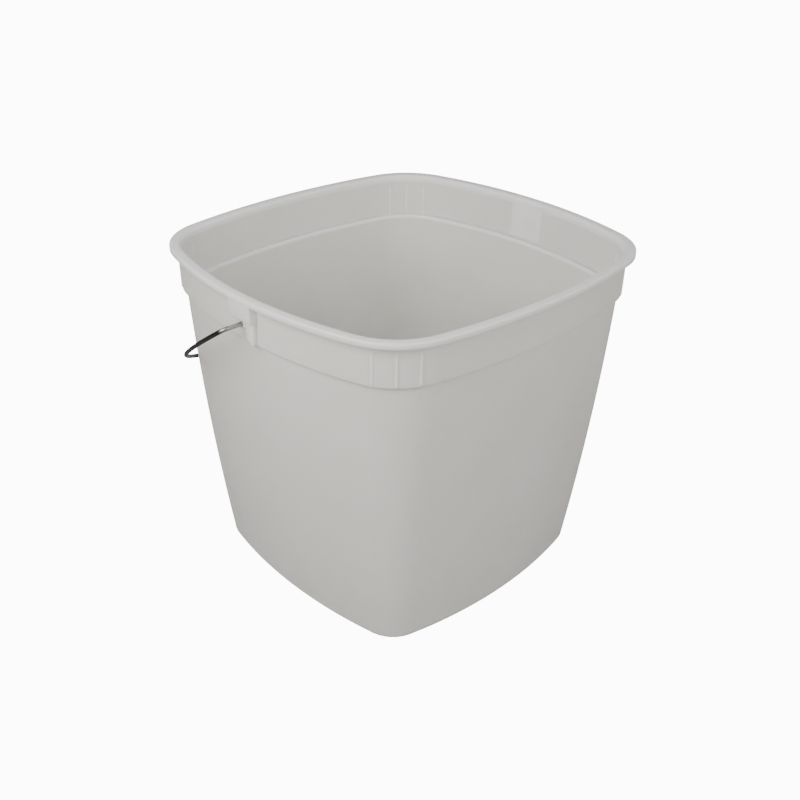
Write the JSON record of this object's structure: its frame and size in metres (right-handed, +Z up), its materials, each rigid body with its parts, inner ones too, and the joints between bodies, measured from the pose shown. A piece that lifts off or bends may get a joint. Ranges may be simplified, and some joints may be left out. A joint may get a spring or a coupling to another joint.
{
  "type": "fermenting bucket",
  "caption": "Open rounded-square fermenting bucket of translucent polyethylene: stepped band, flanged lip, corner ribs, two ears, and a swinging wire bail with a turning grip.",
  "frame": {"origin": "middle of the base, on the plane that the foot ring stands on; the recessed base panel is 1.2 mm above it", "axes": "+Z up towards the open rim; the two ears and the bail's pivot axis lie along X; the bail hangs at rest on the +Y side"},
  "size_m": [0.328, 0.2937, 0.259],
  "materials": {
    "natural_polyethylene": "translucent natural polyethylene, satin moulded surface",
    "bright_steel_wire": "bright drawn galvanised wire",
    "white_polyethylene": "opaque white moulded plastic"
  },
  "bodies": {
    "bucket": {"bucket_body": "natural_polyethylene"},
    "bail": {"bail_wire": "bright_steel_wire"},
    "grip": {"bail_grip": "white_polyethylene"}
  },
  "joints": [
    {"name": "bail_swing", "type": "hinge", "parent": "bucket", "child": "bail", "pos_m": [0, 0, 0.2384], "axis": [1, 0, 0], "range_deg": [0, 249]},
    {"name": "grip_spin", "type": "hinge", "parent": "bail", "child": "grip", "pos_m": [0, 0.14173, 0.14099], "axis": [1, 0, 0], "continuous": true}
  ]
}
